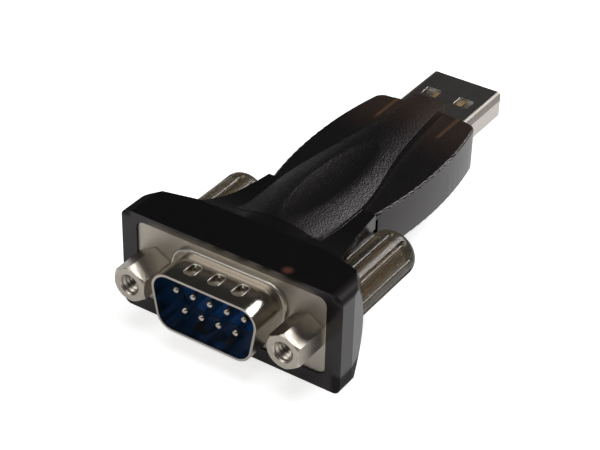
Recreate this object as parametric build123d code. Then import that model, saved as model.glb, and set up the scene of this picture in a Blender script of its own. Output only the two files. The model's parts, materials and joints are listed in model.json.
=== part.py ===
"""USB plug to nine-way serial adapter with a two-part smoky housing and two captive thumbscrews.

Millimetres, +Z up, +Y towards the USB plug. The shapes are drawn about the centre of the
connector plate's front face; place() then moves them to the bottom centre of the whole part.
"""
from build123d import *

import os
from math import cos, radians, sin, tan

os.makedirs("parts", exist_ok=True)

# Gaps and laps between pieces
PRESS_GAP = 0.02
FIT_GAP = 0.05
TURN_GAP = 0.08
SHELL_GAP = 0.12
LAP = 0.5
SINK = 0.1

# Nine-way D connector, plug side
SHROUD_W = 17.95
SHROUD_H = 8.96
SHROUD_L = 6.1
SHROUD_R = 2.6
SHROUD_SLOPE = 10
SHEET = 0.35
BEAD_OUT = 0.95
BEAD_H = 0.65
BEAD_ROUND = 0.6
DENT_W = 1.7
DENT_PITCH = 3.85
DENT_DEPTH = 0.6
DENT_FROM_RIM = 1.7
DENT_L = 2.65
DENT_R = 0.6
REAR_OUT = 0.85
REAR_SHEET = 0.4
REAR_END = 5.3
PIN_PITCH = 2.77
ROW_GAP = 2.84
PIN_R = 0.5
PIN_ROUND = 0.4
PIN_FROM_RIM = 1.2
PIN_TAIL = 10.4
BLOCK_FACE = 0.45
BLOCK_JOIN = 3.4

# Jack nuts and thumbscrews, 4-40 thread
THREAD_R = 1.42
SHAFT_R = 1.15
SHAFT_TIP = 0.3
NUT_AF = 5.0
NUT_L = 5.87
NUT_BORE = 3.8
NUT_CHAMFER = 0.35
NUT_MOUTH = 0.2
NUT_SIDE = 0.07
GRIP_R = 3.65
GRIP_END = 22.3
GRIP_DOME = 1.5
COLLAR_R = 3.8
COLLAR_L = 2.6
FLUTES = 10
FLUTE_R = 0.5
FLUTE_OUT = 0.125
FLUTE_BACK = 0.6
CORE_R = 1.9
CORE_END = 20.3
POCKET_GAP = 0.4
POCKET_Y = 6.0
POCKET_BACK = 0.6

# Connector plate and hood
PLATE_EDGE = 2.91
PLATE_RIM = 1.795
PLATE_T = 0.5
PLATE_R = 1.3
FRONT_LIP = 0.31
FLANGE_SIDE = 2.545
FLANGE_ABOVE = 1.175
FLANGE_BELOW = 2.2
FLANGE_R = 1.2
END_LAND = 5.6
END_DEPTH = 7.2
MID_LAND = 7.4
MID_DEPTH = 8.9
SIDE_FLAT = 2.5
SIDE_LEAN = 1.4
CORNER_LAND = 2.85
CORNER_DEPTH = 4.95
CORNER_SLANT = 33
HOOD_TAPER = 7.45
HOOD_ROOT = 1.5
ROOT_DROP = 0.3

# Wings
WING_TOP = 4.0
WING_BOTTOM = -3.0
WING_ROOT_W = 17.2
WING_MAX_W = 20.3
WING_TAIL_W = 16.9
WING_MAX_Y = 36.8
WING_TAIL_Y = 51.4
WING_END = 52.3
WING_CORNER = 1.8
WING_EDGE = 0.3

# Neck between hood and wings
NECK_ROOT_W = 25.6
NECK_WAIST_W = 20.6
NECK_TIP_W = 18.0
NECK_WAIST_Y = 13.5
NECK_END = 22.1
NECK_WAIST_STEP = 0.9
NECK_TIP_STEP = 0.45

# Ridge along the middle, above and below
RIDGE_START = 11.3
RIDGE_W = 13.5
RIDGE_SHOULDER_Y = 20.5
RIDGE_WAIST_W = 9.6
RIDGE_WAIST_Y = 33.0
RIDGE_TAIL_W = 5.2
RIDGE_TAIL_GAP = 0.2
RIDGE_R = 18.0
RIDGE_RISE = 2.3
RIDGE_FALL = 0.5
BASE_TRIM = 0.15
SCOOP_HALF_L = 20.5
SCOOP_HALF_W = 6.8
SCOOP_H = 3.0
SCOOP_DROP = 0.75
SCOOP_Y = 25.8

# Housing inside and its parting
WALL = 1.4
FLOOR_T = 1.2
ROOF_T = 1.3
RIDGE_CORE = 1.7
PARTING = 0.0
LID_T = 0.45
CAVITY_R = 1.0
HOOD_LEDGE = 1.2
HOOD_CAVITY_END = 3.3
TAIL_GAP = 0.08
SEAT_BACK = 0.3
SNAP_Y = 22.7
SNAP_W = 0.8
SNAP_LOW = -0.4
SNAP_HIGH = 3.1
SNAP_DEEP = 0.9

# USB plug, standard sizes
USB_W = 12.0
USB_H = 4.5
USB_L = 18.8
USB_SHEET = 0.3
USB_R = 0.6
USB_OUT = 11.7
USB_BLOCK_L = 5.8
TONGUE_T = 1.95
TONGUE_SIDE = 0.2
TONGUE_FROM_TIP = 0.5
LATCH_X = 2.85
LATCH_W = 2.5
LATCH_L = 2.3
LATCH_R = 0.2
LATCH_FROM_TIP = 6.2
CONTACT_W = 1.0
CONTACT_T = 0.2
CONTACT_IN = 1.0
CONTACT_OUT = 3.5
CONTACT_LONG = 1.1
CONTACT_SHORT = 2.1
CONTACT_TAIL = 2.4

# Board and what is soldered on it
BOARD_T = 1.6
BOARD_Y0 = 6.8
BOARD_SIDE = 0.2
BOARD_BACK = 0.1
RAIL_W = 1.2
RAIL_Y0 = 24.5
RAIL_L = 18.5
STOP_L = 2.0
CHIP_L = 10.2
CHIP_W = 5.3
CHIP_H = 1.6
CHIP_USB_Y = 34.0
CHIP_LINE_Y = 19.5
CRYSTAL_L = 5.0
CRYSTAL_W = 3.2
CRYSTAL_H = 1.1
CRYSTAL_R = 0.5
CRYSTAL_GAP = 0.7
CAP_L = 2.0
CAP_W = 1.25
CAP_H = 0.9
CAP_Y = 27.0
CAP_PITCH = 2.5
CAPS = 5

# Places that follow from the sizes
RIM = -SHROUD_L
DENT_FRONT = RIM + DENT_FROM_RIM
DENT_BACK = DENT_FRONT + DENT_L
SCREW_X = SHROUD_W / 2 + BEAD_OUT + NUT_SIDE + NUT_AF / 2
PLATE_W = 2 * (SCREW_X + PLATE_EDGE)
PLATE_H = SHROUD_H + 2 * PLATE_RIM
FLANGE_W = PLATE_W + 2 * FLANGE_SIDE
FLANGE_TOP = PLATE_H / 2 + FLANGE_ABOVE
FLANGE_BOTTOM = -PLATE_H / 2 - FLANGE_BELOW
FLANGE_MID = (FLANGE_TOP + FLANGE_BOTTOM) / 2
MID_X = FLANGE_W / 2 - HOOD_TAPER
BORE_END = NUT_BORE - NUT_L
GRIP_START = POCKET_Y + TURN_GAP
CROWN = WING_TOP + RIDGE_RISE
RIDGE_MID = (WING_TOP + WING_BOTTOM) / 2
FLOOR = WING_BOTTOM + FLOOR_T
CEILING = WING_TOP - ROOF_T
BOARD_TOP = BOARD_T / 2
BOARD_W = WING_ROOT_W - 2 * WALL
USB_TIP = WING_END + USB_OUT
USB_BACK = USB_TIP - USB_L
USB_BLOCK_END = USB_BACK + USB_BLOCK_L
CRYSTAL_Y = USB_BACK - CONTACT_TAIL - CRYSTAL_GAP - CRYSTAL_W / 2
USB_Z = BOARD_TOP - TONGUE_T + USB_H / 2 - USB_SHEET
Y_CENTRE = (USB_TIP + RIM) / 2
SOLIDS = {}


def along_y(sketch, y0, y1):
    return extrude(Plane.XZ.offset(-y0) * sketch, amount=y1 - y0, dir=(0, 1, 0))


def along_z(sketch, z0, z1):
    return extrude(Plane.XY.offset(z0) * sketch, amount=z1 - z0, dir=(0, 0, 1))


def along_x(sketch, x0, x1):
    return extrude(Plane.YZ.offset(x0) * sketch, amount=x1 - x0, dir=(1, 0, 0))


def block(x0, x1, y0, y1, z0, z1):
    return Pos((x0 + x1) / 2, (y0 + y1) / 2, (z0 + z1) / 2) * Box(x1 - x0, y1 - y0, z1 - z0)


def both(shape):
    return [shape, mirror(shape, about=Plane.YZ)]


def place(shape):
    return Pos(0, -Y_CENTRE, -FLANGE_BOTTOM) * shape


def keep(name, shape):
    SOLIDS[name] = shape


def d_outline(grow=0.0):
    """Outline of the D shroud with its slanted ends, grown or shrunk all round."""
    top, half = SHROUD_W / 2, SHROUD_H / 2
    low = top - SHROUD_H * tan(radians(SHROUD_SLOPE))
    shape = Polygon((-top, half), (top, half), (low, -half), (-low, -half), align=None)
    shape = fillet(shape.vertices(), SHROUD_R)
    return offset(shape, amount=grow) if grow else shape


def screw_holes(r, y0, y1):
    return along_y(Pos(SCREW_X, 0) * Circle(r) + Pos(-SCREW_X, 0) * Circle(r), y0, y1)


def pin_places():
    """Pin centres, five above and four below, numbered from the left of the top row."""
    for row, count in ((ROW_GAP / 2, 5), (-ROW_GAP / 2, 4)):
        for i in range(count):
            yield (i - (count - 1) / 2) * PIN_PITCH, row


def pin_holes(y0, y1):
    dots = Sketch() + [Pos(x, z) * Circle(PIN_R + PRESS_GAP / 2) for x, z in pin_places()]
    return along_y(dots, y0, y1)


def dent(x, side):
    """One grounding dent: a ramp pressed into the shroud, deepest at its rear end."""
    skin, inner, half = SHROUD_H / 2, SHROUD_H / 2 - SHEET, DENT_W / 2
    press = Polygon((DENT_FRONT, skin + SINK), (DENT_BACK, skin + SINK),
                    (DENT_BACK, skin - DENT_DEPTH), (DENT_FRONT, skin), align=None)
    lining = Polygon((DENT_FRONT, inner + SINK), (DENT_BACK + SHEET, inner + SINK),
                     (DENT_BACK + SHEET, inner - DENT_DEPTH), (DENT_BACK, inner - DENT_DEPTH),
                     (DENT_FRONT, inner), align=None)
    outline = Pos(x, (DENT_FRONT + DENT_BACK) / 2) * RectangleRounded(DENT_W, DENT_L, DENT_R)
    cut = along_x(press, x - half, x + half) & along_z(outline, 0, skin + SINK)
    add = along_x(lining, x - half - SHEET, x + half + SHEET)
    if side < 0:
        cut, add = mirror(cut, about=Plane.XY), mirror(add, about=Plane.XY)
    return cut, add


def dents():
    """Three dents above and two below, halfway between them."""
    above = [dent(x, 1) for x in (-DENT_PITCH, 0, DENT_PITCH)]
    return above + [dent(x, -1) for x in (-DENT_PITCH / 2, DENT_PITCH / 2)]


def front_shell():
    plate = along_y(RectangleRounded(PLATE_W, PLATE_H, PLATE_R), 0, PLATE_T)
    bead = along_y(d_outline(BEAD_OUT), -BEAD_H, 0)
    rim = bead.faces().sort_by(Axis.Y)[0].edges()
    shell = plate + fillet(rim, BEAD_H * BEAD_ROUND) + along_y(d_outline(), RIM, 0)
    shell -= along_y(d_outline(-SHEET), RIM, PLATE_T)
    shell -= screw_holes(SHAFT_R + TURN_GAP, 0, PLATE_T)
    for cut, add in dents():
        shell = shell + add - cut
    return shell


def rear_shell():
    plate = along_y(RectangleRounded(PLATE_W, PLATE_H, PLATE_R), PLATE_T, 2 * PLATE_T)
    shell = plate + along_y(d_outline(REAR_OUT), PLATE_T, REAR_END)
    shell -= along_y(d_outline(REAR_OUT - REAR_SHEET), 2 * PLATE_T, REAR_END)
    shell -= along_y(d_outline(-SHEET), 0, 2 * PLATE_T)
    return shell - screw_holes(SHAFT_R + TURN_GAP, PLATE_T, 2 * PLATE_T)


def pin(x, z):
    post = along_y(Pos(x, z) * Circle(PIN_R), RIM + PIN_FROM_RIM, PIN_TAIL)
    return fillet(post.faces().sort_by(Axis.Y)[0].edges(), PIN_ROUND)


def connector():
    inside = REAR_OUT - REAR_SHEET - PRESS_GAP
    front = along_y(d_outline(-SHEET - PRESS_GAP), -BLOCK_FACE, 2 * PLATE_T)
    front += along_y(d_outline(inside), 2 * PLATE_T, BLOCK_JOIN)
    rear = along_y(d_outline(inside), BLOCK_JOIN, REAR_END)
    keep("dsub_front_shell", front_shell())
    keep("dsub_rear_shell", rear_shell())
    keep("dsub_insulator_front", front - pin_holes(-BLOCK_FACE, BLOCK_JOIN))
    keep("dsub_insulator_rear", rear - pin_holes(BLOCK_JOIN, REAR_END))
    for n, (x, z) in enumerate(pin_places(), 1):
        keep(f"pin_{n}", pin(x, z))


def usb_outline(grow=0.0):
    return Pos(0, USB_Z) * RectangleRounded(USB_W + 2 * grow, USB_H + 2 * grow, USB_R + grow)


def usb_shell():
    shell = along_y(usb_outline(), USB_BACK, USB_TIP)
    shell -= along_y(usb_outline(-USB_SHEET), USB_BACK, USB_TIP)
    window = Pos(LATCH_X, USB_TIP - LATCH_FROM_TIP) * RectangleRounded(LATCH_W, LATCH_L, LATCH_R)
    for cut in both(along_z(window, USB_Z - USB_H, USB_Z + USB_H)):
        shell -= cut
    return shell


def usb_insulator():
    """Block that fills the back of the shell, with the contact tongue in front of it."""
    back = USB_BACK + TONGUE_SIDE
    body = along_y(usb_outline(-USB_SHEET - PRESS_GAP), back, USB_BLOCK_END)
    half = USB_W / 2 - USB_SHEET - TONGUE_SIDE
    low = USB_Z - USB_H / 2 + USB_SHEET + PRESS_GAP
    return body + block(-half, half, back, USB_TIP - TONGUE_FROM_TIP, low, BOARD_TOP)


def usb_contact(x, from_tip):
    half, start, end = CONTACT_W / 2, USB_BACK - CONTACT_TAIL, USB_TIP - from_tip
    return block(x - half, x + half, start, end, BOARD_TOP, BOARD_TOP + CONTACT_T)


def usb_plug():
    body = usb_insulator()
    rows = ((-CONTACT_OUT, CONTACT_LONG), (-CONTACT_IN, CONTACT_SHORT),
            (CONTACT_IN, CONTACT_SHORT), (CONTACT_OUT, CONTACT_LONG))
    for n, (x, from_tip) in enumerate(rows, 1):
        strip = usb_contact(x, from_tip)
        body -= strip
        keep(f"usb_contact_{n}", strip)
    keep("usb_shell", usb_shell())
    keep("usb_insulator", body)


def flute():
    """One round-ended groove along the grip."""
    start, end = GRIP_START + COLLAR_L / 2, GRIP_END - GRIP_DOME - FLUTE_BACK
    centre = GRIP_R + FLUTE_OUT
    return along_y(Pos(centre, 0) * Circle(FLUTE_R), start, end) + Pos(centre, end, 0) * Sphere(FLUTE_R)


def grip():
    """Clear sleeve on the screw's core: domed rear end, a low collar in front, flutes between."""
    body = along_y(Circle(GRIP_R), GRIP_START, GRIP_END)
    body = fillet(body.faces().sort_by(Axis.Y)[-1].edges(), GRIP_DOME)
    collar = Rot(90, 0, 0) * Cone(GRIP_R, COLLAR_R, COLLAR_L)
    body += Pos(0, GRIP_START + COLLAR_L / 2, 0) * collar
    for i in range(FLUTES):
        body -= Rot(0, (i + 0.5) * 360 / FLUTES, 0) * flute()
    return body - along_y(Circle(CORE_R + PRESS_GAP), GRIP_START, CORE_END)


def thumbscrew():
    shaft = along_y(Circle(SHAFT_R), BORE_END + SHAFT_TIP, GRIP_START)
    return shaft + along_y(Circle(CORE_R), GRIP_START, CORE_END)


def jack_nut():
    """Hexagon with its front corners turned down to a round face, bored for the thread."""
    flat, corner = NUT_AF / 2, NUT_AF / 2 / cos(radians(30))
    back = -FIT_GAP
    nut = along_y(RegularPolygon(flat, 6, major_radius=False, rotation=30), -NUT_L, back)
    turned = Polygon((0, back), (corner, back), (corner, NUT_CHAMFER - NUT_L),
                     (flat, -NUT_L), (0, -NUT_L), align=None)
    mouth = Polygon((0, -NUT_L), (THREAD_R + NUT_MOUTH, -NUT_L), (THREAD_R, NUT_MOUTH - NUT_L),
                    (0, NUT_MOUTH - NUT_L), align=None)
    nut = nut & revolve(turned, axis=Axis.Y)
    nut -= revolve(mouth, axis=Axis.Y)
    nut -= along_y(Circle(THREAD_R), -NUT_L, BORE_END)
    return nut - along_y(Circle(SHAFT_R), BORE_END, back)


def screws():
    for side, x in (("left", -SCREW_X), ("right", SCREW_X)):
        keep(f"thumbscrew_{side}", Pos(x, 0, 0) * thumbscrew())
        keep(f"knob_grip_{side}", Pos(x, 0, 0) * grip())
        keep(f"jack_nut_{side}", Pos(x, 0, 0) * jack_nut())


def bulge(land, depth, start=-FRONT_LIP):
    """Section of the hood: flat front, lands above and below, bowed back."""
    front = Polyline((land, FLANGE_TOP), (start, FLANGE_TOP), (start, FLANGE_BOTTOM), (land, FLANGE_BOTTOM))
    back = ThreePointArc((land, FLANGE_BOTTOM), (depth, FLANGE_MID), (land, FLANGE_TOP))
    return make_face([*front.edges(), back])


def corner():
    """What lies in front of the bowed slant at the hood's right rear corner."""
    section = Plane.YZ.offset(FLANGE_W / 2) * bulge(CORNER_LAND, CORNER_DEPTH, -2 * FLANGE_W)
    slant = radians(CORNER_SLANT)
    return extrude(section, amount=2 * FLANGE_W, dir=(-sin(slant), cos(slant), 0), both=True)


def hood():
    end, mid = bulge(END_LAND, END_DEPTH), bulge(MID_LAND, MID_DEPTH)
    right = loft([Plane.YZ.offset(MID_X) * mid, Plane.YZ.offset(FLANGE_W / 2) * end], ruled=True)
    body = along_x(mid, -MID_X, MID_X) + both(right)
    face = Pos(0, FLANGE_MID) * RectangleRounded(FLANGE_W, FLANGE_TOP - FLANGE_BOTTOM, FLANGE_R)
    body &= along_y(face, -FRONT_LIP, MID_DEPTH)
    half = FLANGE_W / 2
    plan = Polyline((-half, -FRONT_LIP), (half, -FRONT_LIP), (half, SIDE_FLAT),
                    (half - SIDE_LEAN, MID_DEPTH), (SIDE_LEAN - half, MID_DEPTH),
                    (-half, SIDE_FLAT), close=True)
    body &= along_z(make_face(plan), FLANGE_BOTTOM, FLANGE_TOP)
    for side in both(corner()):
        body &= side
    return body


def neck_plan():
    side = Spline((NECK_ROOT_W / 2, POCKET_Y), (NECK_WAIST_W / 2, NECK_WAIST_Y),
                  (NECK_TIP_W / 2, NECK_END), tangents=((-0.35, 1), (-0.12, 1)))
    start, end = side @ 0, side @ 1
    rest = Line(end, (-end.X, end.Y))
    front = Polyline((-start.X, start.Y), (-start.X, HOOD_ROOT), (start.X, HOOD_ROOT), start)
    return make_face([side, rest, mirror(side, about=Plane.YZ), *front.edges()])


def neck_profile():
    """Side view of the neck: hollow-backed slopes from the hood's top and bottom to the wings."""
    top = Spline((HOOD_ROOT, FLANGE_TOP - ROOT_DROP), (NECK_WAIST_Y, WING_TOP + NECK_WAIST_STEP),
                 (NECK_END, WING_TOP + NECK_TIP_STEP), tangents=((1, -0.02), (1, -0.02)))
    low = Spline((HOOD_ROOT, FLANGE_BOTTOM), (NECK_WAIST_Y, WING_BOTTOM - NECK_WAIST_STEP),
                 (NECK_END, WING_BOTTOM - NECK_TIP_STEP), tangents=((1, 0.02), (1, 0.02)))
    return make_face([top, low, Line(top @ 1, low @ 1), Line(low @ 0, top @ 0)])


def neck():
    side = along_x(neck_profile(), -FLANGE_W / 2, FLANGE_W / 2)
    return along_z(neck_plan(), FLANGE_BOTTOM, FLANGE_TOP) & side


def wing_plan(inset=0.0):
    """Plan of the wings: two long bows meeting a slightly bowed end at round corners."""
    root, wide, tail = (w / 2 - inset for w in (WING_ROOT_W, WING_MAX_W, WING_TAIL_W))
    tail_y = WING_TAIL_Y - inset
    side = ThreePointArc((root, NECK_END), (wide, WING_MAX_Y), (tail, tail_y))
    end = ThreePointArc((tail, tail_y), (0, WING_END - inset), (-tail, tail_y))
    front = Line((-root, NECK_END), (root, NECK_END))
    plan = make_face([side, end, mirror(side, about=Plane.YZ), front])
    return fillet(plan.vertices().sort_by(Axis.Y)[-2:], WING_CORNER - inset)


def wings():
    body = along_z(wing_plan(), WING_BOTTOM, WING_TOP)
    return fillet(body.faces().filter_by(Axis.Z).edges(), WING_EDGE)


def ridge_plan(inset=0.0, start=HOOD_ROOT, end=WING_END - RIDGE_TAIL_GAP):
    """Plan of the ridge between two lengths: straight shoulders, then a long narrowing."""
    wide, waist, tail = (w / 2 - inset for w in (RIDGE_W, RIDGE_WAIST_W, RIDGE_TAIL_W))
    flank = Spline((wide, RIDGE_SHOULDER_Y), (waist, RIDGE_WAIST_Y), (tail, end),
                   tangents=((0, 1), (-0.08, 1)))
    rear = Line((tail, end), (-tail, end))
    front = Polyline((-wide, RIDGE_SHOULDER_Y), (-wide, start), (wide, start), (wide, RIDGE_SHOULDER_Y))
    return make_face([flank, rear, mirror(flank, about=Plane.YZ), *front.edges()])


def crown_section(crown, y):
    """Section of the ridge at y: straight sides under an arched top."""
    half = RIDGE_W / 2 + LAP
    drop = RIDGE_R - (RIDGE_R**2 - half**2) ** 0.5
    sides = Polyline((half, crown - drop), (half, RIDGE_MID), (-half, RIDGE_MID), (-half, crown - drop))
    arch = ThreePointArc((half, crown - drop), (0, crown), (-half, crown - drop))
    return Plane.XZ.offset(-y) * make_face([*sides.edges(), arch])


def apron():
    """Runs from the flat top of the hood to the arched start of the ridge."""
    high = FLANGE_TOP - ROOT_DROP - RIDGE_MID
    flat = Pos(0, RIDGE_MID + high / 2) * Rectangle(RIDGE_W + 2 * LAP, high)
    return loft([Plane.XZ.offset(-HOOD_ROOT) * flat, crown_section(CROWN, RIDGE_START)], ruled=True)


def ridge():
    back = loft([crown_section(CROWN, RIDGE_START), crown_section(CROWN - RIDGE_FALL, WING_END)], ruled=True)
    return (back + apron()) & along_z(ridge_plan(), RIDGE_MID, FLANGE_TOP)


def scoop():
    """Long shallow dish pressed into the top of the ridge for a thumb."""
    ball = scale(Sphere(1), by=(SCOOP_HALF_W, SCOOP_HALF_L, SCOOP_H))
    return Pos(0, SCOOP_Y, CROWN + SCOOP_H - SCOOP_DROP) * ball


def base_flat():
    """Trims the crest of the lower ridge, drawn as an upper one, to a long flat that the part rests on."""
    start, end = CROWN - BASE_TRIM, CROWN - RIDGE_FALL - BASE_TRIM
    side = Polygon((RIDGE_START, start), (WING_END, end), (WING_END, CROWN), (RIDGE_START, CROWN),
                   align=None)
    return along_x(side, -RIDGE_W / 2, RIDGE_W / 2)


def outside():
    top = ridge()
    low = mirror(top - base_flat(), about=Plane.XY.offset(RIDGE_MID))
    return hood() + neck() + wings() + low + top - scoop()


def inside():
    """Everything hollow: window, connector space, neck, wings, ridges and the USB seat."""
    window = RectangleRounded(PLATE_W + 2 * FIT_GAP, PLATE_H + 2 * FIT_GAP, PLATE_R)
    core_w = SHROUD_W + 2 * (REAR_OUT + SHELL_GAP)
    core_h = SHROUD_H + 2 * (REAR_OUT + SHELL_GAP)
    core_end = REAR_END + SHELL_GAP
    behind_plate = RectangleRounded(PLATE_W - 2 * HOOD_LEDGE, core_h, CAVITY_R)
    hollow = along_y(window, -FRONT_LIP, 2 * PLATE_T)
    hollow += along_y(behind_plate, 2 * PLATE_T, HOOD_CAVITY_END)
    hollow += along_y(RectangleRounded(core_w, core_h, CAVITY_R), 2 * PLATE_T, core_end)
    half, pins = BOARD_W / 2 + BOARD_SIDE, ROW_GAP / 2 + PIN_R + TAIL_GAP
    hollow += block(-half, half, core_end - LAP, NECK_END + WALL, -pins, CEILING)
    hollow += along_z(wing_plan(WALL), FLOOR, CEILING)
    core = ridge_plan(WALL, RIDGE_START + WALL, USB_BACK + WALL)
    hollow += along_z(core, FLOOR - RIDGE_CORE, CEILING + RIDGE_CORE)
    return hollow + along_y(usb_outline(FIT_GAP), USB_BACK - SEAT_BACK, WING_END)


def rails():
    """Ledges under the board and stops above it, near both of its edges."""
    x1, end = BOARD_W / 2, RAIL_Y0 + RAIL_L
    low = block(x1 - RAIL_W, x1, RAIL_Y0, end, FLOOR - SINK, -BOARD_TOP)
    front = block(x1 - RAIL_W, x1, RAIL_Y0, RAIL_Y0 + STOP_L, BOARD_TOP, CEILING + SINK)
    back = block(x1 - RAIL_W, x1, end - STOP_L, end, BOARD_TOP, CEILING + SINK)
    return both(low), [*both(front), *both(back)]


def snaps():
    """Slots in the side walls where the two halves clip together."""
    wall, half = WING_ROOT_W / 2, SNAP_W / 2
    slot = block(wall - SNAP_DEEP, wall + LAP, SNAP_Y - half, SNAP_Y + half, SNAP_LOW, SNAP_HIGH)
    return both(slot)


def upper_side():
    """Space of the upper half: down to the screw axes in front, only the lid over the wings."""
    wide, high, step = FLANGE_W, FLANGE_TOP + LAP, NECK_END - LAP
    over = block(-wide, wide, -FRONT_LIP - LAP, step, PARTING, high)
    over += block(-wide, wide, step - LAP, WING_END + LAP, WING_TOP - LID_T, high)
    return over + along_z(wing_plan(WALL / 2), CEILING - LAP, high)


def housing():
    shell = outside() - inside()
    shell -= screw_holes(GRIP_R + POCKET_GAP, POCKET_Y, GRIP_END + POCKET_BACK)
    shell -= screw_holes(SHAFT_R + TURN_GAP, 0, POCKET_Y)
    for cut in snaps():
        shell -= cut
    over = upper_side()
    top, bottom = shell & over, shell - over
    low, stops = rails()
    for bar in low:
        bottom += bar
    for bar in stops:
        top += bar
    keep("housing_top", top)
    keep("housing_bottom", bottom)


def chip(y, length, width, height):
    return block(-length / 2, length / 2, y - width / 2, y + width / 2, BOARD_TOP, BOARD_TOP + height)


def circuit():
    half, end = BOARD_W / 2, USB_BACK - BOARD_BACK
    keep("circuit_board", block(-half, half, BOARD_Y0, end, -BOARD_TOP, BOARD_TOP))
    keep("usb_bridge_chip", chip(CHIP_USB_Y, CHIP_L, CHIP_W, CHIP_H))
    keep("level_shifter_chip", chip(CHIP_LINE_Y, CHIP_L, CHIP_W, CHIP_H))
    can = chip(CRYSTAL_Y, CRYSTAL_L, CRYSTAL_W, CRYSTAL_H)
    keep("crystal", fillet(can.edges().filter_by(Axis.Z), CRYSTAL_R))
    for n in range(CAPS):
        x = (n - (CAPS - 1) / 2) * CAP_PITCH
        keep(f"capacitor_{n + 1}", Pos(x, 0, 0) * chip(CAP_Y, CAP_W, CAP_L, CAP_H))


connector()
usb_plug()
screws()
housing()
circuit()
for node, solid in SOLIDS.items():
    export_step(place(solid), f"parts/{node}.step")
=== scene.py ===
"""Looks for the USB to serial adapter: smoky housing, nickel connector and clear screw grips.

Metres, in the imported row's frame. Materials read object coordinates turned into the part
source's own millimetres, so a mask is written with the same numbers as the part.
"""

import json
import math

import bmesh
import bpy
from mathutils import Matrix, Vector


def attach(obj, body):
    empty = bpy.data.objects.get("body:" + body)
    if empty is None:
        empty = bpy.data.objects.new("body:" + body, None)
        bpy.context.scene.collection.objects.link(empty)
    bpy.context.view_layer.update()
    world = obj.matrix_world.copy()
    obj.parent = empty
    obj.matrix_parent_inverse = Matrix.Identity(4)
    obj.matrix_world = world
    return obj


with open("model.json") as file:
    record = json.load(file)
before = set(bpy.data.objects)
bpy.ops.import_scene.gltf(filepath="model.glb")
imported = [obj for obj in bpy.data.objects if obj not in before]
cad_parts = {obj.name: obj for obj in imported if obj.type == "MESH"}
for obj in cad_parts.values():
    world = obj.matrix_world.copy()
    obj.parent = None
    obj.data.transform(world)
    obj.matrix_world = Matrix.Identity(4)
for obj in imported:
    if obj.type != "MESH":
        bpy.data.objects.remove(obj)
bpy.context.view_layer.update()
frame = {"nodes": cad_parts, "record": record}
nodes = frame["nodes"]

# The part source's sizes, in its own millimetres
Y_CENTRE = 28.95
LIFT = 8.475
SCREW_X = 12.495
WING_TOP = 4.0
RIDGE_MID = 0.5
RIDGE_START = 11.3
RIDGE_HALF_W = 6.76
NECK_END = 22.1
PLATE_TOP = 6.275
HOOD_TOP = 7.45
HOOD_REAR = 7.505
CUT_SEAT = 7.15
CUT_R = 2.391
CUT_MID = 9.121
CUT_HALF_W = 1.60
CUT_HALF_ANGLE = 0.735
CUT_STEPS = 7
CUT_FLUSH = 0.001
CUT_ROUND = 0.05
CUT_LEAN = 0.09
CUT_TOP_BACK = 0.15
SHROUD_TOP = 4.48
DENT_PITCH = 3.85
DENT_HALF_W = 0.85
DENT_FRONT = -3.9
DENT_BACK = -1.75
DENT_R = 0.6
DENT_CORNER_STEPS = 6
DENT_LINE_R = 0.1
DENT_LINE_SINK = 0.2
DENT_LINE_SIDES = 8
THREAD_R = 1.42
THREAD_DEEP = 0.3
THREAD_PITCH = 0.64
THREAD_FRONT = -5.55
THREAD_BACK = -2.4
THREAD_AROUND = 32
THREAD_HALF_W = 0.42 * THREAD_PITCH


def place(x, y, z):
    """A point in the part source's millimetres as a point in the row frame."""
    return Vector((x, y - Y_CENTRE, z + LIFT)) / 1000


# Camera, at the photograph's place
AZIMUTH = 32.987
ELEVATION = 34.681
ROLL = 1.481
DISTANCE = 256.798
FOCAL_PX = 1791.1
AIM = Vector((0, 25, 0))
ASIDE = 4.569
BELOW = 2.072
FRAME_PX = 600
SENSOR = 36.0


def add_camera():
    az, el, roll = (math.radians(a) for a in (AZIMUTH, ELEVATION, ROLL))
    back = Vector((math.sin(az) * math.cos(el), -math.cos(az) * math.cos(el), math.sin(el)))
    right = Vector((math.cos(az), math.sin(az), 0))
    up = back.cross(right)
    side = right * math.cos(roll) + up * math.sin(roll)
    above = up * math.cos(roll) - right * math.sin(roll)
    spot = AIM + back * DISTANCE - side * ASIDE - above * BELOW
    data = bpy.data.cameras.new("camera")
    data.sensor_width = SENSOR
    data.lens = FOCAL_PX * SENSOR / FRAME_PX
    data.clip_start = 0.005
    data.clip_end = 20
    cam = bpy.data.objects.new("camera", data)
    turn = Matrix((side, above, back)).transposed().to_4x4()
    cam.matrix_world = Matrix.Translation(place(*spot)) @ turn
    bpy.context.scene.collection.objects.link(cam)
    bpy.context.scene.camera = cam


# Where the materials change, in the part source's millimetres
RIDGE_GRAIN = 3.9
# Where the housing's colour gets a painted brown glow, standing for light through the thin wall near the
# plug
THIN_START = 38.0
THIN_FULL = 51.0
THIN_LOW = 2.2
THIN_HIGH = 3.4
# Where two painted streaks stand for the plug's metal edges showing through the wall
PAINTED_STREAK_X = 5.35
PAINTED_STREAK_HALF_W = 0.45
PAINTED_STREAK_START = 44.5
PAINTED_STREAK_FULL = 46.0
# A painted warm glow spot on the hood, light shining through that no lamp gives
PAINTED_GLOW_SPOT = (8.6, 0.8, 7.4)
PAINTED_GLOW_R = 1.1
PAINTED_GLOW_CORE_R = 0.2
CORNER_X = 15.9
CORNER_HIGH = 5.4
CORNER_REAR = 9.5
# The strip above the plate, coloured with a painted reflection of the plate
PAINTED_REFLECTION_FRONT = 0.3
PAINTED_REFLECTION_HALF_W = 14.5
# The plug's rolled corners, darkened with painted shade
USB_PAINTED_SHADE_X = 5.35
USB_PAINTED_SHADE_Z = 1.5
USB_PAINTED_SHADE_BLEND = 0.25
SHROUD_START = -0.3
SHROUD_FULL = -1.0
KNURLS = 28.0
CORE_START = 5.0
CORE_FULL = 6.5

# Shader building


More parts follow.
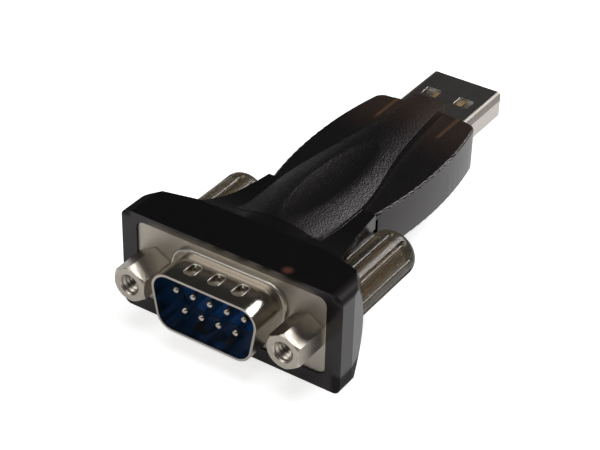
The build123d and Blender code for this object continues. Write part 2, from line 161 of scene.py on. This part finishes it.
class Tree:
    """A material's node tree, with short calls that return output sockets."""

    def __init__(self, name):
        self.mat = bpy.data.materials.new(name)
        self.mat.use_nodes = True
        self.nodes = self.mat.node_tree.nodes
        self.links = self.mat.node_tree.links
        self.shader = self.nodes["Principled BSDF"]

    def put(self, socket, value):
        if isinstance(value, bpy.types.NodeSocket):
            self.links.new(value, socket)
        else:
            socket.default_value = value

    def node(self, kind, settings=None, **inputs):
        made = self.nodes.new(kind)
        for key, value in (settings or {}).items():
            setattr(made, key, value)
        for key, value in inputs.items():
            self.put(made.inputs[key.replace("_", " ")], value)
        return made

    def math(self, kind, a, b=0.0):
        made = self.node("ShaderNodeMath", {"operation": kind})
        self.put(made.inputs[0], a)
        self.put(made.inputs[1], b)
        return made.outputs[0]

    def step(self, value, low, high):
        """0 below low, 1 above high, smooth between."""
        made = self.node("ShaderNodeMapRange", {"interpolation_type": "SMOOTHSTEP"},
                         Value=value, From_Min=low, From_Max=high)
        return made.outputs["Result"]

    def both(self, *values):
        out = values[0]
        for value in values[1:]:
            out = self.math("MULTIPLY", out, value)
        return out

    def either(self, a, b):
        return self.math("MAXIMUM", a, b)

    def mix(self, share, a, b):
        return self.math("ADD", self.math("MULTIPLY", self.math("SUBTRACT", 1.0, share), a),
                         self.math("MULTIPLY", share, b))

    def colour(self, share, a, b):
        made = self.node("ShaderNodeMix", {"data_type": "RGBA"})
        self.put(made.inputs[0], share)
        self.put(made.inputs[6], a)
        self.put(made.inputs[7], b)
        return made.outputs[2]

    def mm(self, stretch=(1, 1, 1)):
        """Object coordinates in the part source's millimetres, stretched for streaky grain."""
        coords = self.node("ShaderNodeTexCoord").outputs["Object"]
        moved = self.node("ShaderNodeMapping", Vector=coords)
        moved.inputs["Scale"].default_value = [1000 * s for s in stretch]
        moved.inputs["Location"].default_value = (0, Y_CENTRE * stretch[1], -LIFT * stretch[2])
        return moved.outputs["Vector"]

    def xyz(self, vector):
        made = self.node("ShaderNodeSeparateXYZ", Vector=vector)
        return made.outputs["X"], made.outputs["Y"], made.outputs["Z"]

    def noise(self, vector, scale, detail=3.0, rough=0.5):
        made = self.node("ShaderNodeTexNoise", Vector=vector, Scale=scale, Detail=detail, Roughness=rough)
        return made.outputs["Fac"]

    def cells(self, vector, scale, smooth):
        made = self.node("ShaderNodeTexVoronoi", {"feature": "SMOOTH_F1"},
                         Vector=vector, Scale=scale, Smoothness=smooth)
        return made.outputs["Distance"]

    def bump(self, height, distance, strength=1.0, under=None):
        made = self.node("ShaderNodeBump", Height=height, Distance=distance, Strength=strength)
        if under is not None:
            self.links.new(under, made.inputs["Normal"])
        return made.outputs["Normal"]

    def set(self, **inputs):
        for key, value in inputs.items():
            self.put(self.shader.inputs[key.replace("_", " ")], value)
        return self.mat


def rgb(r, g, b):
    return (r, g, b, 1.0)


def housing_grain(t, here, on_ridge, on_wing):
    """Leather grain on the ridge and fine grain on the wings, over a slight ripple."""
    leather = t.mix(0.5, t.cells(here, RIDGE_GRAIN, 0.35), t.noise(here, 5.0, 4.0, 0.65))
    fine = t.math("MULTIPLY", t.noise(here, 5.0, 3.0, 0.6), 0.6)
    ripple = t.noise(here, 0.35, 2.0, 0.5)
    height = t.math("ADD", t.math("MULTIPLY", leather, on_ridge), t.math("MULTIPLY", fine, on_wing))
    return t.bump(height, 0.00010, 0.85, t.bump(ripple, 0.00006, 0.08))


def housing_colour(t, here, high, flat, painted_plate_reflection):
    """Near black moulding, with painted light laid over it: a painted brown glow where the wall is thin, two
    painted streaks and a painted warm spot for light shining through, and a painted reflection of the plate
    on the strip above it.
    """
    x, y, z = t.xyz(here)
    # Painted glow: browner where the wall near the plug is thin
    painted_thin_glow = t.both(t.step(y, THIN_START, THIN_FULL), t.step(high, THIN_LOW, THIN_HIGH))
    edge = t.math("ABSOLUTE", t.math("SUBTRACT", t.math("ABSOLUTE", x), PAINTED_STREAK_X))
    # Painted streaks where the plug's metal edges would show through
    painted_streak = t.both(t.step(edge, PAINTED_STREAK_HALF_W, 0.1), t.step(y, PAINTED_STREAK_START, PAINTED_STREAK_FULL),
                    t.step(high, 3.2, 3.45), flat)
    # Painted warm glow spot
    off = t.node("ShaderNodeVectorMath", {"operation": "DISTANCE"})
    t.put(off.inputs[0], here)
    off.inputs[1].default_value = PAINTED_GLOW_SPOT
    spot = t.both(t.step(off.outputs["Value"], PAINTED_GLOW_R, PAINTED_GLOW_CORE_R), 0.7)
    base = t.colour(t.noise(here, 0.5, 2.0), rgb(0.0022, 0.0021, 0.0028), rgb(0.0038, 0.0034, 0.0034))
    base = t.colour(t.math("MULTIPLY", painted_thin_glow, 0.7), base, rgb(0.030, 0.018, 0.012))
    base = t.colour(t.math("MULTIPLY", painted_streak, 0.7), base, rgb(0.085, 0.045, 0.025))
    # Painted reflection of the plate, on the strip above it
    base = t.colour(t.math("MULTIPLY", painted_plate_reflection, 0.8), base, rgb(0.15, 0.13, 0.09))
    return t.colour(spot, base, rgb(0.10, 0.035, 0.022))


def housing_material():
    """Smoky black moulding: glossy hood, leather-grained ridge, fine grain on the wings."""
    t = Tree("smoky_housing")
    here = t.mm()
    x, y, z = t.xyz(here)
    wide = t.math("ABSOLUTE", x)
    upright = t.math("ABSOLUTE", t.xyz(t.node("ShaderNodeNewGeometry").outputs["Normal"])[2])
    high = t.math("ABSOLUTE", t.math("SUBTRACT", z, RIDGE_MID))
    top = WING_TOP - RIDGE_MID
    flat = t.step(upright, 0.55, 0.8)
    on_ridge = t.both(t.step(high, top + 0.12, top + 0.25),
                      t.step(y, RIDGE_START - 0.15, RIDGE_START + 0.15),
                      t.step(wide, RIDGE_HALF_W + 0.05, RIDGE_HALF_W), flat)
    on_wing = t.both(flat, t.step(y, NECK_END, NECK_END + 0.15), t.math("SUBTRACT", 1.0, on_ridge))
    wall = t.both(t.step(high, top - 0.02, top + 0.02), t.step(upright, 0.6, 0.4),
                  t.step(wide, RIDGE_HALF_W + 0.3, RIDGE_HALF_W),
                  t.step(y, RIDGE_START, RIDGE_START + 2))
    corner = t.both(t.step(wide, CORNER_X, CORNER_X + 1.1), t.step(high, CORNER_HIGH, CORNER_HIGH + 1),
                    t.step(y, CORNER_REAR, CORNER_REAR - 1))
    # Mask for the painted reflection of the plate on the hood's front strip; it also sets the roughness
    # there
    painted_plate_reflection = t.both(t.step(y, PAINTED_REFLECTION_FRONT, PAINTED_REFLECTION_FRONT - 0.2), t.step(z, PLATE_TOP + 1.2, PLATE_TOP),
                 t.step(z, PLATE_TOP - 0.8, PLATE_TOP - 0.2), t.step(wide, PAINTED_REFLECTION_HALF_W, PAINTED_REFLECTION_HALF_W - 2.5))
    grain = t.math("ADD", t.math("MULTIPLY", on_ridge, 0.13), t.math("MULTIPLY", on_wing, 0.06))
    rough = t.math("ADD", 0.20, grain)
    rough = t.math("ADD", rough, t.math("MULTIPLY", t.noise(here, 0.8, 3.0), 0.06))
    rough = t.mix(t.either(wall, corner), rough, 0.6)
    rough = t.mix(painted_plate_reflection, rough, 0.42)
    shine = t.mix(t.either(wall, t.math("MULTIPLY", on_ridge, 0.35)), 0.5, 0.08)
    shine = t.mix(corner, shine, 0.2)
    return t.set(Base_Color=housing_colour(t, here, high, flat, painted_plate_reflection), Roughness=rough,
                 Normal=housing_grain(t, here, on_ridge, on_wing), IOR=1.5, Specular_IOR_Level=shine,
                 Specular_Tint=rgb(1.0, 0.90, 0.93))


def metal_material(name, light, dark, rough, spread=0.08, stretch=(1, 1, 1), scale=1.6, dent=0.00002):
    """Plated metal: cloudy colour and roughness with fine marks, drawn out along one way if stretched."""
    t = Tree(name)
    here = t.mm(stretch)
    cloud = t.noise(here, scale * 0.35, 3.0)
    marks = t.noise(here, scale * 5, 4.0, 0.7)
    base = t.colour(t.mix(0.5, cloud, marks), rgb(*dark), rgb(*light))
    r = t.math("ADD", rough - spread / 2, t.math("MULTIPLY", t.mix(0.6, cloud, marks), spread))
    return t.set(Base_Color=base, Metallic=1.0, Roughness=r, Normal=t.bump(marks, dent, 0.35))


def usb_material():
    """Rolled steel, drawn lengthwise, with rougher rolled corners whose colour is darkened as painted shade.
    """
    t = Tree("usb_steel")
    here = t.mm((1, 0.12, 1))
    x, y, z = t.xyz(here)
    cloud = t.noise(here, 1.0, 3.0)
    marks = t.noise(here, 15.0, 4.0, 0.7)
    wide = t.math("ABSOLUTE", x)
    high = t.math("ABSOLUTE", z)
    corner = t.both(t.step(wide, USB_PAINTED_SHADE_X, USB_PAINTED_SHADE_X + USB_PAINTED_SHADE_BLEND),
                    t.step(high, USB_PAINTED_SHADE_Z, USB_PAINTED_SHADE_Z + USB_PAINTED_SHADE_BLEND))
    base = t.colour(t.mix(0.5, cloud, marks), rgb(0.52, 0.48, 0.44), rgb(0.62, 0.58, 0.54))
    # Painted shade: the rolled corners' colour darkened
    base = t.colour(t.math("MULTIPLY", corner, 0.7), base, rgb(0.22, 0.20, 0.18))
    r = t.math("ADD", t.mix(corner, 0.20, 0.55), t.math("MULTIPLY", t.mix(0.6, cloud, marks), 0.08))
    return t.set(Base_Color=base, Metallic=1.0, Roughness=r, Normal=t.bump(marks, 0.00002, 0.35))


def connector_material():
    """Nickel plating: satin on the plate, brighter where the shroud is drawn forward."""
    t = Tree("pressed_nickel")
    here = t.mm()
    x, y, z = t.xyz(here)
    cloud = t.noise(here, 0.5, 3.0)
    marks = t.noise(here, 9.0, 4.0, 0.7)
    drawn = t.step(y, SHROUD_START, SHROUD_FULL)
    base = t.colour(t.mix(0.4, cloud, marks), rgb(0.42, 0.38, 0.33), rgb(0.56, 0.52, 0.46))
    r = t.math("ADD", t.mix(drawn, 0.40, 0.14), t.math("MULTIPLY", cloud, 0.07))
    return t.set(Base_Color=base, Metallic=1.0, Roughness=r, Normal=t.bump(marks, 0.00002, 0.35))


def plastic_material(name, light, dark, rough, scale=2.0, dent=0.00002, specular=0.5):
    """Moulded plastic with a faint mottle and skin."""
    t = Tree(name)
    here = t.mm()
    mottle = t.noise(here, scale, 3.0)
    skin = t.noise(here, scale * 6, 3.0, 0.6)
    base = t.colour(mottle, rgb(*dark), rgb(*light))
    r = t.math("ADD", rough, t.math("MULTIPLY", skin, 0.08))
    return t.set(Base_Color=base, Roughness=r, Specular_IOR_Level=specular, Normal=t.bump(skin, dent, 0.4))


def grip_material():
    """Smoky clear moulding that the metal core shows through."""
    t = Tree("smoky_clear_grip")
    here = t.mm((1, 0.5, 1))
    waves = t.noise(here, 0.8, 2.0)
    tint = t.colour(waves, rgb(0.46, 0.40, 0.315), rgb(0.63, 0.56, 0.445))
    r = t.math("ADD", 0.19, t.math("MULTIPLY", t.noise(here, 2.5, 3.0), 0.12))
    smoke = t.node("ShaderNodeVolumeAbsorption", Color=rgb(0.50, 0.45, 0.38), Density=480.0)
    t.links.new(smoke.outputs[0], t.nodes["Material Output"].inputs["Volume"])
    return t.set(Base_Color=tint, Roughness=r, IOR=1.30, Specular_IOR_Level=0.12, Transmission_Weight=0.96,
                 Normal=t.bump(waves, 0.0001, 0.2))


def screw_material():
    """Turned core with lengthwise knurling round each screw axis."""
    t = Tree("knurled_nickel")
    here = t.mm()
    x, y, z = t.xyz(here)
    off = t.math("SUBTRACT", t.math("ABSOLUTE", x), SCREW_X)
    angle = t.math("ARCTAN2", z, off)
    ridge = t.math("SINE", t.math("MULTIPLY", angle, KNURLS))
    on_core = t.step(y, CORE_START, CORE_FULL)
    marks = t.noise(here, 6.0, 3.0)
    base = t.colour(marks, rgb(0.40, 0.33, 0.23), rgb(0.80, 0.70, 0.52))
    height = t.math("ADD", t.math("MULTIPLY", ridge, on_core), t.math("MULTIPLY", marks, 0.8))
    return t.set(Base_Color=base, Metallic=1.0, Roughness=0.6, Normal=t.bump(height, 0.0001, 0.7))


MATERIALS = {
    "housing": housing_material(),
    "nickel": connector_material(),
    "usb_steel": usb_material(),
    "screw": screw_material(),
    "grip": grip_material(),
    "blue_insulator": plastic_material(
        "blue_insulator", (0.010, 0.11, 0.40), (0.007, 0.07, 0.27), 0.35, specular=0.2),
    "usb_insulator": plastic_material("usb_insulator", (0.80, 0.79, 0.75), (0.70, 0.69, 0.65), 0.4),
    "board": plastic_material("solder_mask", (0.02, 0.16, 0.07), (0.015, 0.11, 0.05), 0.3),
    "chip": plastic_material("chip_moulding", (0.03, 0.03, 0.03), (0.02, 0.02, 0.02), 0.55, scale=4.0),
    "capacitor": plastic_material(
        "capacitor_ceramic", (0.50, 0.37, 0.24), (0.38, 0.27, 0.17), 0.45, scale=5.0),
    "pin": metal_material("pin_nickel", (0.60, 0.55, 0.49), (0.46, 0.41, 0.36), 0.22, scale=4.0),
    "contact": metal_material(
        "gold_contact", (0.62, 0.45, 0.26), (0.48, 0.34, 0.18), 0.28, stretch=(1, 0.2, 1)),
    "can": metal_material("crystal_can", (0.72, 0.72, 0.70), (0.62, 0.62, 0.60), 0.25),
    "nut": metal_material(
        "nut_nickel", (0.62, 0.57, 0.50), (0.42, 0.38, 0.32), 0.30, scale=3.0, dent=0.00004),
    # Pale metal for the dent edges: its brightness is a painted highlight
    "dent_edge_painted_highlight": metal_material(
        "dent_edge_painted_highlight", (0.97, 0.93, 0.86), (0.88, 0.84, 0.76), 0.42, scale=3.0),
}

SLOTS = {part["node"]: part["material_slot"] for part in frame["record"]["subparts"]}
# Metres
BEVELS = {
    "housing": 0.00007,
    "nickel": 0.00005,
    "usb_steel": 0.00005,
    "nut": 0.00006,
    "blue_insulator": 0.00006,
}
WELD_GAP = 0.000002
EDGE_ANGLE = math.radians(32)


def sharp_by_angle():
    """Geometry nodes that shade smooth, but for edges steeper than the bevel's limit."""
    group = bpy.data.node_groups.new("sharp_by_angle", "GeometryNodeTree")
    for way in ("INPUT", "OUTPUT"):
        group.interface.new_socket("Geometry", in_out=way, socket_type="NodeSocketGeometry")
    start, end, bare, smooth, angle, flat = (group.nodes.new(kind) for kind in (
        "NodeGroupInput", "NodeGroupOutput", "GeometryNodeRemoveAttribute", "GeometryNodeSetShadeSmooth",
        "GeometryNodeInputMeshEdgeAngle", "FunctionNodeCompare"))
    bare.inputs["Name"].default_value = "custom_normal"
    smooth.domain = "EDGE"
    flat.operation = "LESS_THAN"
    flat.inputs[1].default_value = EDGE_ANGLE
    group.links.new(start.outputs[0], bare.inputs["Geometry"])
    group.links.new(bare.outputs[0], smooth.inputs["Geometry"])
    group.links.new(angle.outputs["Unsigned Angle"], flat.inputs[0])
    group.links.new(flat.outputs[0], smooth.inputs["Shade Smooth"])
    group.links.new(smooth.outputs[0], end.inputs[0])
    return group


SHARP = sharp_by_angle()


def dress(name, obj):
    """Gives a CAD node its material, and small rounded edges that catch the light."""
    slot = SLOTS[name]
    obj.data.materials.clear()
    obj.data.materials.append(MATERIALS[slot])
    if slot in BEVELS:
        weld = obj.modifiers.new("weld", "WELD")
        weld.merge_threshold = WELD_GAP
        obj.modifiers.new("sharp", "NODES").node_group = SHARP
        bevel = obj.modifiers.new("bevel", "BEVEL")
        bevel.width = BEVELS[slot]
        bevel.segments = 2
        bevel.limit_method = "ANGLE"
        bevel.angle_limit = EDGE_ANGLE
        bevel.harden_normals = True


for name, obj in nodes.items():
    dress(name, obj)


def bridge(made, rings, smooth=False):
    """Joins each ring of points to the next and closes both ends."""
    for a, b in zip(rings, rings[1:]):
        for k in range(len(a)):
            n = (k + 1) % len(a)
            made.faces.new((a[k], a[n], b[n], b[k])).smooth = smooth
    made.faces.new(rings[0])
    made.faces.new(rings[-1])


def add_piece(name, made, material):
    """Turns a bmesh into an object in the scene."""
    bmesh.ops.recalc_face_normals(made, faces=made.faces)
    mesh = bpy.data.meshes.new(name)
    made.to_mesh(mesh)
    made.free()
    mesh.materials.append(MATERIALS[material])
    piece = bpy.data.objects.new(name, mesh)
    bpy.context.scene.collection.objects.link(piece)
    return piece


def add_thread(side, x):
    """The thread inside a jack nut, one helical ridge standing in from the bore's wall."""
    turns = (THREAD_BACK - THREAD_FRONT) / THREAD_PITCH
    section = ((THREAD_R, -THREAD_HALF_W), (THREAD_R - THREAD_DEEP, 0), (THREAD_R, THREAD_HALF_W))
    made = bmesh.new()
    rings = []
    for i in range(int(turns * THREAD_AROUND) + 1):
        angle = math.tau * i / THREAD_AROUND
        y = THREAD_FRONT + THREAD_PITCH * i / THREAD_AROUND
        ring = []
        for r, dy in section:
            ring.append(made.verts.new(place(x + r * math.cos(angle), y + dy, r * math.sin(angle))))
        rings.append(ring)
    bridge(made, rings)
    piece = add_piece(f"jack_thread_{side}", made, "nut")
    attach(piece, f"screw_{side}")


def dent_outline(x):
    """From the front left of a dent round its two rear corners to its front right."""
    half = [(DENT_HALF_W, DENT_FRONT)]
    for i in range(DENT_CORNER_STEPS + 1):
        angle = math.pi / 2 * i / DENT_CORNER_STEPS
        across = DENT_HALF_W - DENT_R * (1 - math.cos(angle))
        half.append((across, DENT_BACK - DENT_R * (1 - math.sin(angle))))
    return [(x - px, py) for px, py in half] + [(x + px, py) for px, py in reversed(half)]


def add_dent_line(name, x, side):
    """The soft edge round a dent pressed into the shroud, catching light, in a pale metal whose brightness
    is a painted highlight.
    """
    made = bmesh.new()
    path = dent_outline(x)
    rings = []
    for i, (px, py) in enumerate(path):
        ax, ay = path[max(i - 1, 0)]
        bx, by = path[min(i + 1, len(path) - 1)]
        long = math.hypot(bx - ax, by - ay)
        out_x, out_y = (by - ay) / long, (ax - bx) / long
        ring = []
        for k in range(DENT_LINE_SIDES):
            angle = math.tau * k / DENT_LINE_SIDES
            wide = DENT_LINE_R * math.cos(angle)
            high = SHROUD_TOP + DENT_LINE_R * (math.sin(angle) - DENT_LINE_SINK)
            ring.append(made.verts.new(place(px + out_x * wide, py + out_y * wide, side * high)))
        rings.append(ring)
    bridge(made, rings, smooth=True)
    piece = add_piece(name, made, "dent_edge_painted_highlight")
    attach(piece, "adapter")


def add_hood_edge():
    """Fills the shallow cut in the middle of the hood's rear edge, flush with the hood's top."""
    levels = [(CUT_SEAT, 0.0), (HOOD_TOP - CUT_ROUND, CUT_LEAN), (HOOD_TOP - CUT_FLUSH, CUT_TOP_BACK)]
    made = bmesh.new()
    rings = []
    for high, back in levels:
        rear = HOOD_REAR - back
        outline = []
        for i in range(2 * CUT_STEPS + 1):
            angle = CUT_HALF_ANGLE * (i / CUT_STEPS - 1)
            y = CUT_MID - CUT_R * math.cos(angle)
            outline.append((CUT_R * math.sin(angle), min(y, rear - CUT_FLUSH)))
        outline += [(CUT_HALF_W, rear), (-CUT_HALF_W, rear)]
        rings.append([made.verts.new(place(x, y, high)) for x, y in outline])
    bridge(made, rings)
    piece = add_piece("hood_edge_fill", made, "housing")
    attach(piece, "adapter")


for i in range(3):
    add_dent_line(f"dent_edge_top_{i + 1}", (i - 1) * DENT_PITCH, 1)
for i in range(2):
    add_dent_line(f"dent_edge_bottom_{i + 1}", (i - 0.5) * DENT_PITCH, -1)
add_hood_edge()
add_thread("left", -SCREW_X)
add_thread("right", SCREW_X)


# Stage, in metres
FLOOR_SIZE = 8
FLOOR_WHITE = 0.72
FLOOR_SEEN = 0.72
FLOOR_FAR_LIFT = 0.28
FLOOR_MIRRORED = 0.22
POOL_NEAR = 0.15
POOL_FAR = 0.60
HORIZON = 0.08
CEILING = 0.035


def add_floor():
    """Pale floor. The camera sees it white, and so do reflections, less so far from the object."""
    bpy.ops.mesh.primitive_plane_add(size=FLOOR_SIZE, location=(0, 0, 0))
    floor = bpy.context.object
    floor.name = "floor"
    t = Tree("white_floor")
    t.nodes.remove(t.shader)
    path = t.node("ShaderNodeLightPath").outputs
    across = t.node("ShaderNodeVectorMath", {"operation": "LENGTH"})
    t.put(across.inputs[0], t.node("ShaderNodeTexCoord").outputs["Object"])
    near = t.math("SUBTRACT", 1.0, t.step(across.outputs["Value"], POOL_NEAR, POOL_FAR))
    mirrored = t.both(t.either(path["Is Glossy Ray"], path["Is Transmission Ray"]), near, FLOOR_MIRRORED)
    far = t.math("MULTIPLY", t.math("SUBTRACT", 1.0, near), FLOOR_FAR_LIFT)
    seen = t.math("MULTIPLY", path["Is Camera Ray"], t.math("ADD", FLOOR_SEEN, far))
    glow = t.node("ShaderNodeEmission", Strength=t.math("ADD", seen, mirrored))
    matt = t.node("ShaderNodeBsdfDiffuse", Color=(FLOOR_WHITE, FLOOR_WHITE, FLOOR_WHITE, 1))
    total = t.nodes.new("ShaderNodeAddShader")
    t.links.new(matt.outputs[0], total.inputs[0])
    t.links.new(glow.outputs[0], total.inputs[1])
    t.links.new(total.outputs[0], t.nodes["Material Output"].inputs["Surface"])
    floor.data.materials.append(t.mat)


def add_world():
    """White for the camera, and for the rest a dim studio with a paler band along the horizon."""
    world = bpy.data.worlds.new("studio")
    bpy.context.scene.world = world
    world.use_nodes = True
    tree = world.node_tree
    sky = tree.nodes["Background"]
    coords = tree.nodes.new("ShaderNodeTexCoord")
    split = tree.nodes.new("ShaderNodeSeparateXYZ")
    band = tree.nodes.new("ShaderNodeMapRange")
    band.interpolation_type = "SMOOTHSTEP"
    band.inputs["From Min"].default_value = 0.02
    band.inputs["From Max"].default_value = 0.12
    band.inputs["To Min"].default_value = HORIZON
    band.inputs["To Max"].default_value = CEILING
    path = tree.nodes.new("ShaderNodeLightPath")
    white = tree.nodes.new("ShaderNodeMath")
    white.operation = "MAXIMUM"
    tree.links.new(coords.outputs["Generated"], split.inputs[0])
    tree.links.new(split.outputs["Z"], band.inputs["Value"])
    tree.links.new(band.outputs["Result"], white.inputs[0])
    tree.links.new(path.outputs["Is Camera Ray"], white.inputs[1])
    tree.links.new(white.outputs[0], sky.inputs["Strength"])
    sky.inputs["Color"].default_value = (1, 1, 1, 1)


def add_lamp(name, direction, distance, width, height, power):
    data = bpy.data.lights.new(name, "AREA")
    data.shape = "RECTANGLE"
    data.size = width
    data.size_y = height
    data.energy = power
    lamp = bpy.data.objects.new(name, data)
    way = Vector(direction).normalized()
    lamp.matrix_world = Matrix.Translation(way * distance) @ way.to_track_quat("Z", "Y").to_matrix().to_4x4()
    bpy.context.scene.collection.objects.link(lamp)


add_camera()
add_floor()
add_world()
add_lamp("key", (0.34, 0.66, 0.65), distance=0.55, width=0.32, height=0.20, power=2.6)
add_lamp("top", (0.1, -0.25, 1.0), distance=0.60, width=0.30, height=0.30, power=1.2)
add_lamp("fill", (-0.35, -0.75, 0.62), distance=0.65, width=0.30, height=0.30, power=0.7)

bpy.context.scene.view_settings.view_transform = "Standard"
